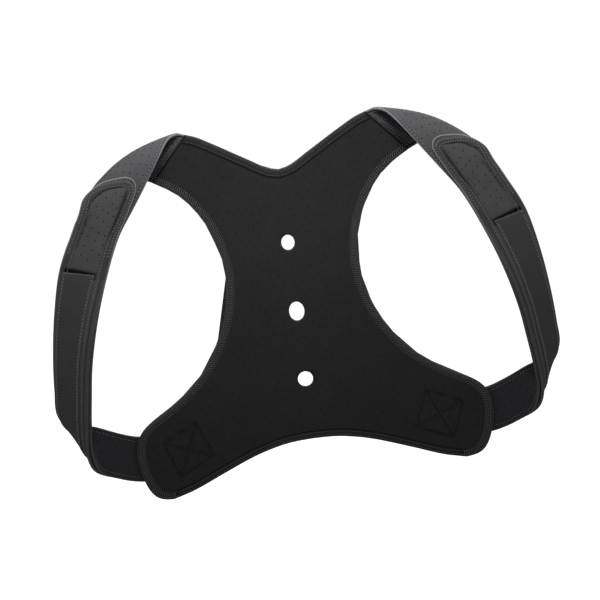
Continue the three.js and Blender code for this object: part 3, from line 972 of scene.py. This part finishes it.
def offset_line(line, inset, inward):
    """A flat line moved sideways by inset, towards the side that inward points to."""
    run = np.gradient(line, axis=0)
    normal = unit(np.stack([-run[:, 1], run[:, 0]], axis=1))
    middle = len(line) // 2
    if normal[middle] @ (np.array(inward) - line[middle]) < 0:
        normal = -normal
    return line + normal * inset


def spaced(line, pitch):
    """Evenly spread places along a line, and which way it runs there."""
    run = lengths(line)
    mids = part_way(line, run, np.arange(pitch / 2, run[-1], pitch))
    return mids, unit(np.gradient(mids, axis=0))


def leaning(run, lean):
    """Directions turned from along a line towards across it."""
    cross = np.stack([-run[:, 1], run[:, 0]], axis=1)
    return run * math.cos(lean) + cross * math.sin(lean)


def threads(skin, mids, aim, length, sink, turn=(1, 1, 1)):
    """A stitch at each flat place: its middle, its end-to-end vector and the way out of the cloth."""
    middle, out = skin(mids)
    start, _ = skin(mids - aim * length / 2)
    end, _ = skin(mids + aim * length / 2)
    return [((m - o * sink) * turn, (e - s) * turn, o * turn) for m, s, e, o in zip(middle, start, end, out)]


def sewn(line, side, face, stitch, lean=0.0, sink=0.15):
    """Stitches along a flat line on the panel: lean turns each from along the line towards across it."""
    pitch, length = stitch
    mids, run = spaced(line, pitch)
    aim = leaning(run, lean)
    mids[:, 0] *= side
    aim[:, 0] *= side
    return threads(lambda flat: panel_point(flat, face), mids, aim, length, sink)


def panel_stitches(finish, dark):
    inside = (0, -20)
    made = []
    for side, word in ((1, "left"), (-1, "right")):
        hem, neck, box = [], [], []
        for face in (0, 1):
            hem += sewn(offset_line(ARM_LINE, 4.0, inside), side, face, ARM_ZIGZAG, lean=1.15)
            for inset in (1.9, 6.6):
                hem += sewn(offset_line(ARM_LINE, inset, inside), side, face, ARM_STITCH)
            for inset in (2.6, 6.3):
                for line in (NECK_LINE, ARCH_LINE):
                    neck += sewn(offset_line(line, inset, inside), side, face, HEM_STITCH)
        for line in BOX_LINES:
            box += sewn(dense(line), side, 0, BOX_STITCH)
        made += [
            stitches(f"arm_hem_stitches_{word}", hem, finish),
            stitches(f"neck_and_arch_stitches_{word}", neck, finish, 0.6),
            stitches(f"box_stitches_{word}", box, dark),
        ]
    return made


def inside_panel(flat):
    """Whether each flat place lies on the cloth, judged on the panel's right half outline."""
    outline = np.concatenate([NECK_LINE, ARM_LINE, ARCH_LINE[::-1], NECK_LINE[:1]])
    x, z = np.abs(flat[:, 0]), flat[:, 1]
    hits = np.zeros(len(flat), int)
    for (x0, z0), (x1, z1) in zip(outline[:-1], outline[1:]):
        crosses = (z0 > z) != (z1 > z)
        with np.errstate(divide="ignore", invalid="ignore"):
            hits += crosses & (x < x0 + (z - z0) * (x1 - x0) / (z1 - z0))
    return hits % 2 == 1


def panel_pinholes(finish):
    reach = PANEL_HALF_WIDTH
    flat = staggered((-reach, -PANEL_DROP), (reach, PANEL_RISE), PINHOLE_PITCH)
    flat = flat[inside_panel(flat)]
    measured = panel_shape(flat)
    clear = np.min([measured["neck"] - 11, measured["arm"] - 10, measured["arch"] - 11], axis=0)
    clear = np.min([clear, measured["seam"] - 3, measured["rim"] - 5, measured["box"] - 1.5], axis=0)
    flat = flat[clear > 0]
    return [
        pinholes(f"panel_pinholes_{word}", *panel_point(flat, face), finish, "panel_neoprene")
        for face, word in ((0, "inner"), (1, "outer"))
    ]


def strap_flat(row, across):
    """Row and share across as flat millimetres along and across the strap."""
    return np.stack([run_at(row), across * half_at(row)], axis=1)


def strap_skin(flat, layer):
    """A place and its way out: on the body side, the inner layer's outside, the top or the facing."""
    row = row_at(flat[:, 0])
    across = flat[:, 1] / half_at(row)
    slant, seat = facing_seat(row)
    slant, height = {
        "body": (0.0, 0.0),
        "outside": (0.0, STRAP_THICKNESS),
        "top": (tab_slant(row), 2 * STRAP_THICKNESS + layer_gap(row)),
        "facing": (slant, seat + FACING_THICKNESS),
    }[layer]
    row = row + slant * across
    out = outward(bowed, row, across) * (-1 if layer == "body" else 1)
    return band(row, across, height), out


def edge_line(end, rows, inset):
    """A flat line beside one edge of the inner layer: end is 1 at the neck side and -1 at the outer."""
    flat = strap_flat(rows, np.full(len(rows), float(end)))
    flat[:, 1] -= end * inset
    return flat


def top_line(inset):
    """A flat line beside the whole edge of the outer layer, round its tab."""
    row, across = round_tab([station for station in tab_stations() if station[2] == 1.0])
    middle = strap_flat(np.array([10.0]), np.array([0.0]))[0]
    return offset_line(strap_flat(row, across), inset, middle)


def strap_sewn(line, side, layer, stitch, lean=0.0, sink=0.12, down_to=LAST):
    """Stitches along a flat line on a strap, as far down it as a row."""
    pitch, length = stitch
    mids, run = spaced(line, pitch)
    keep = row_at(mids[:, 0]) <= down_to
    aim = leaning(run[keep], lean)
    return threads(lambda flat: strap_skin(flat, layer), mids[keep], aim, length, sink, (side, 1, 1))


def strap_stitches(side, word, finish, seam_finish):
    rows = []
    whole = np.linspace(0.15, LAST, 300)
    upper = np.linspace(0.15, 7.2, 160)
    short = np.linspace(0.15, 4.0, 80)
    runs = ((1, whole, "body"), (-1, whole, "body"), (1, upper, "outside"), (-1, short, "outside"))
    for end, part, layer in runs:
        rows += strap_sewn(edge_line(end, part, STRAP_BORDER), side, layer, STRAP_STITCH)
    rows += strap_sewn(top_line(7.3), side, "top", HEM_STITCH)
    rows += strap_sewn(top_line(3.8), side, "top", TAB_ZIGZAG, lean=1.3, down_to=6.5)
    made = [stitches(f"strap_stitches_{word}", rows, finish, 0.75)]
    seam = []
    half = float(FINE_HALF[0])
    over = np.linspace(-half + 3, half - 1, 60)
    lines = ((6.0, SEAM_ZIGZAG, 1.25), (1.3, SEAM_STITCH, 0.0), (10.8, SEAM_STITCH, 0.0))
    for layer in ("body", "outside"):
        for along, stitch, lean in lines:
            line = np.stack([np.full(60, along), over], axis=1)
            seam += strap_sewn(line, side, layer, stitch, lean)
    made.append(stitches(f"shoulder_seam_stitches_{word}", seam, seam_finish, 0.7))
    return made


def facing_stitches(side, word, finish):
    facing = []
    rows = np.linspace(FACING_TOP + 0.1, FACING_BOTTOM - 0.1, 200)
    for across in (FACING_FROM + 0.07, FACING_TO - 0.07):
        line = strap_flat(rows, np.full(200, across))
        facing += strap_sewn(line, side, "facing", FACING_ZIGZAG, lean=0.6, sink=0.05)
    return stitches(f"facing_stitches_{word}", facing, finish, 0.8)


def strap_pinholes(side, word, finish):
    reach = float(FINE_HALF.max())
    flat = staggered((6, -reach), (FINE_RUN[-1], reach), PINHOLE_PITCH)
    row = row_at(flat[:, 0])
    half = half_at(row)
    share = flat[:, 1] / half
    clear = half - np.abs(flat[:, 1]) > 7
    under_facing = (row > FACING_TOP - 0.3) & (share > FACING_FROM - 0.05) & (share < FACING_TO + 0.05)
    on_tab = (row > TAB_TIP + 0.2) & (nearest(flat, top_line(0.0)) > 9.5)
    chosen = (
        ("body", clear & (row > 0.6)),
        ("outside", clear & (row > 0.6) & (row < 6)),
        ("top", clear & on_tab & ~under_facing & (row < 15)),
    )
    found = [strap_skin(flat[keep], layer) for layer, keep in chosen]
    spots, outs = (np.concatenate(part) * (side, 1, 1) for part in zip(*found))
    return pinholes(f"strap_pinholes_{word}", spots, outs, finish, "strap_neoprene")


def dense(line):
    parts = [np.linspace(a, b, 24, endpoint=False) for a, b in zip(line[:-1], line[1:])]
    return np.concatenate(parts + [line[-1:]])


# Finishes


def linear(hex_colour):
    """An sRGB hex colour as linear red, green, blue and alpha."""
    values = [int(hex_colour[i:i + 2], 16) / 255 for i in (1, 3, 5)]
    return [v / 12.92 if v <= 0.04045 else ((v + 0.055) / 1.055) ** 2.4 for v in values] + [1.0]


def add_node(tree, kind, settings=(), **links):
    """Adds a node; settings are its options, and links its inputs, as a value or another's output."""
    node = tree.nodes.new(kind)
    for key, value in dict(settings).items():
        setattr(node, key, value)
    for key, value in links.items():
        socket = node.inputs[int(key[1:])] if key[0] == "_" else node.inputs[key.replace("_", " ")]
        if isinstance(value, bpy.types.NodeSocket):
            tree.links.new(value, socket)
        else:
            socket.default_value = value
    return node


def woven(tree, pitch):
    """Crossing rows of thread in the flat cloth, with the given pitch in millimetres, from 0 to 1."""
    flat = add_node(tree, "ShaderNodeAttribute", {"attribute_name": "cloth"})
    rows = []
    for way in ("X", "Y"):
        settings = {"wave_type": "BANDS", "bands_direction": way}
        bands = add_node(
            tree, "ShaderNodeTexWave", settings, _0=flat.outputs["Vector"], Scale=math.pi / 10 / pitch)
        rows.append(bands.outputs["Fac"])
    crossing = add_node(tree, "ShaderNodeMath", {"operation": "MULTIPLY"}, _0=rows[0], _1=rows[1])
    return crossing.outputs[0]


def empty_finish(name):
    material = bpy.data.materials.new(name)
    material.use_nodes = True
    material.node_tree.nodes.clear()
    return material, material.node_tree


PATCH_SIZE = 26.0
UNEVENNESS_SIZE = 13.0
# Painted shade on the strap's body side.
BODY_SIDE_SHADE_COLOUR = "#161618"
# Painted shade in stitch grooves, seams and the facing's mouth.
GROOVE_SHADE_COLOUR = "#050505"


def cloth_finish(name, face, shade, rim, brushed, pitch, strength, gloss=0.03):
    """A matte cloth, brushed or woven: patchy, with painted shade on the strap's body side and in stitch
    grooves, and a lighter rim colour painted along its edges as a highlight.

    The pitch is the spacing of its threads or the thickness of its tangled fibres, in millimetres.
    """
    material, tree = empty_finish(name)
    place = add_node(tree, "ShaderNodeTexCoord").outputs["Object"]
    patches, unevenness, fibres = [
        add_node(
            tree, "ShaderNodeTexNoise", _0=place, Scale=1 / (size * MM), Detail=4.0, Roughness=0.7,
        ).outputs["Fac"]
        for size in (PATCH_SIZE, UNEVENNESS_SIZE, pitch)
    ]
    height = fibres if brushed else woven(tree, pitch)
    edge, press, lining = [
        add_node(tree, "ShaderNodeAttribute", {"attribute_name": value}).outputs["Fac"]
        for value in ("rim", "press", "lining")
    ]
    # Painted highlight: within about a millimetre of a cut edge the colour turns to the lighter rim colour,
    # as if the edge caught the light.
    near = add_node(
        tree, "ShaderNodeMapRange", Value=edge, From_Min=0.3, From_Max=1.5, To_Min=1.0, To_Max=0.0)
    half = add_node(tree, "ShaderNodeMath", {"operation": "MULTIPLY"}, _0=height, _1=0.5)
    tone = linear(shade)
    # The tone: patches and weave in the cloth's own two colours, then painted shade on the body side, the
    # painted edge highlight and painted shade in the grooves.
    for share, colour in (
        (patches, face), (half.outputs[0], shade), (lining, BODY_SIDE_SHADE_COLOUR),
        (near.outputs["Result"], rim), (press, GROOVE_SHADE_COLOUR),
    ):
        mixed = add_node(tree, "ShaderNodeMix", {"data_type": "RGBA"}, _0=share, _6=tone, _7=linear(colour))
        tone = mixed.outputs[2]
    soft = add_node(tree, "ShaderNodeBump", Strength=0.6, Distance=0.0015, Height=unevenness)
    relief = add_node(
        tree, "ShaderNodeBump", Strength=strength, Distance=0.0004, Height=height, Normal=soft.outputs[0])
    shader = add_node(
        tree, "ShaderNodeBsdfPrincipled", Base_Color=tone, Roughness=0.95, Specular_IOR_Level=gloss,
        Normal=relief.outputs[0])
    add_node(tree, "ShaderNodeOutputMaterial", Surface=shader.outputs[0])
    return material


def plain_finish(name, face, rough, gloss):
    """One colour with a grain about a millimetre wide, just enough to break the shine."""
    material, tree = empty_finish(name)
    place = add_node(tree, "ShaderNodeTexCoord")
    grain = add_node(tree, "ShaderNodeTexNoise", _0=place.outputs["Object"], Scale=900.0, Detail=4.0)
    relief = add_node(tree, "ShaderNodeBump", Strength=0.15, Distance=0.0002, Height=grain.outputs["Fac"])
    shader = add_node(
        tree, "ShaderNodeBsdfPrincipled", Base_Color=linear(face), Roughness=rough, Specular_IOR_Level=gloss,
        Normal=relief.outputs[0])
    add_node(tree, "ShaderNodeOutputMaterial", Surface=shader.outputs[0])
    return material


# The picture

CAMERA_TURN = math.radians(-3.5)
CAMERA_RAISE = math.radians(10.0)
CAMERA_ROLL = math.radians(7.3)
CAMERA_DISTANCE = 1.5
CAMERA_TARGET = Vector((0.0045, 0.0, -0.024))


def make_camera():
    data = bpy.data.cameras.new("camera")
    data.sensor_width = 36
    data.lens = 90
    camera = add_object("camera", data)
    back = Vector((
        math.sin(CAMERA_TURN) * math.cos(CAMERA_RAISE),
        -math.cos(CAMERA_TURN) * math.cos(CAMERA_RAISE),
        math.sin(CAMERA_RAISE),
    ))
    right = Vector((0, 0, 1)).cross(back).normalized()
    up = back.cross(right)
    tilted_right = right * math.cos(CAMERA_ROLL) - up * math.sin(CAMERA_ROLL)
    tilted_up = right * math.sin(CAMERA_ROLL) + up * math.cos(CAMERA_ROLL)
    turn = Matrix((tilted_right, tilted_up, back)).transposed().to_4x4()
    camera.matrix_world = Matrix.Translation(CAMERA_TARGET + back * CAMERA_DISTANCE) @ turn
    bpy.context.scene.camera = camera


def soft_light(name, place, aim, size, power, spread):
    data = bpy.data.lights.new(name, "AREA")
    data.shape = "DISK"
    data.size = size
    data.energy = power
    data.spread = math.radians(spread)
    light = add_object(name, data)
    light.location = place
    light.rotation_euler = (Vector(aim) - Vector(place)).to_track_quat("-Z", "Y").to_euler()


def make_studio():
    scene = bpy.context.scene
    scene.view_settings.view_transform = "Standard"
    world = bpy.data.worlds.new("studio")
    scene.world = world
    world.use_nodes = True
    background = world.node_tree.nodes["Background"].inputs
    background["Color"].default_value = (1, 1, 1, 1)
    background["Strength"].default_value = 1.06
    bm = bmesh.new()
    bmesh.ops.create_grid(bm, x_segments=2, y_segments=2, size=12)
    bmesh.ops.translate(bm, verts=bm.verts, vec=(0, 0, -1.0))
    mesh = finished_mesh(bm, "floor")
    mesh.materials.append(plain_finish("painted_floor", "#FCFCFC", 0.95, 0.0))
    floor = add_object("floor", mesh)
    floor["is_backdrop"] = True
    soft_light("front", (0.0, -1.7, 1.0), (0, 0, 0.42), 0.5, 9.0, 34)
    soft_light("top", (0.0, 0.1, 0.85), (0, -0.08, 0.12), 0.7, 7.5, 90)
    soft_light("behind", (0.4, 1.6, 0.9), (0, 0, 0), 0.6, 8.0, 60)


make_camera()
make_studio()
# In each cloth below, the third colour is a lighter tone painted along the cut edges as a highlight.
# Foam rubber under a fine black jersey: matte, near black, with its knit just felt.
PANEL_CLOTH = cloth_finish("jersey_neoprene_panel", "#151516", "#0F0F10", "#212122", False, 0.9, 0.4)
# The same foam cloth in a slightly greyer face, which catches the light on the shoulders.
STRAP_CLOTH = cloth_finish("jersey_neoprene_strap", "#29292A", "#1F1F20", "#474748", False, 0.9, 0.4)
# Brushed loops that the hook patch holds: a soft tangled pile, deeper black than the strap.
LOOP_CLOTH = cloth_finish("brushed_loop_fabric", "#252526", "#1A1A1B", "#2A2A2B", True, 0.9, 0.9)
# Flat polyester webbing with a coarse plain weave, a little glossier than the cloths.
WEBBING = cloth_finish("woven_webbing", "#222224", "#161617", "#262627", False, 1.8, 0.9, 0.2)
# Black acetal of the ring: smooth with a soft shine.
RING_PLASTIC = plain_finish("moulded_ring_plastic", "#141415", 0.4, 0.5)
# Black sewing thread, a little shinier than the cloth: paler on the straps, dull on the sewn box.
THREAD_FINISH = plain_finish("polyester_thread", "#303032", 0.7, 0.1)
STRAP_THREAD = plain_finish("strap_polyester_thread", "#3A3A3C", 0.7, 0.1)
DARK_THREAD = plain_finish("dark_polyester_thread", "#0A0A0B", 0.7, 0.05)
# The shadow inside a punched air hole.
HOLE_SHADOW_FINISH = plain_finish("punched_hole_shadow", "#030303", 1.0, 0.0)


def declare_panel():
    panel = back_panel(PANEL_CLOTH)
    panel_stitches(THREAD_FINISH, DARK_THREAD) + panel_pinholes(HOLE_SHADOW_FINISH)
    return panel


def declare_strap(side, word):
    """One side's strap with its facing, ring and webbing, and their stitches and pinholes."""
    strap = shoulder_strap(side, word, STRAP_CLOTH)
    facing = strap_facing(side, word, LOOP_CLOTH)
    ring = strap_ring(side, word, RING_PLASTIC)
    webbing = ring_tab(side, word, WEBBING)
    run = run_along(strap_stations())[-1]
    sewn_on = strap_stitches(side, word, STRAP_THREAD, THREAD_FINISH)
    sewn_on.append(strap_pinholes(side, word, HOLE_SHADOW_FINISH))
    facing_stitches(side, word, STRAP_THREAD)
    ring_tab_line()[1][-1] * MM


back = declare_panel()
for side, word in ((1, "left"), (-1, "right")):
    declare_strap(side, word)

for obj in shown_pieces():
    print("piece", obj.name, sum(len(p.vertices) - 2 for p in obj.data.polygons))
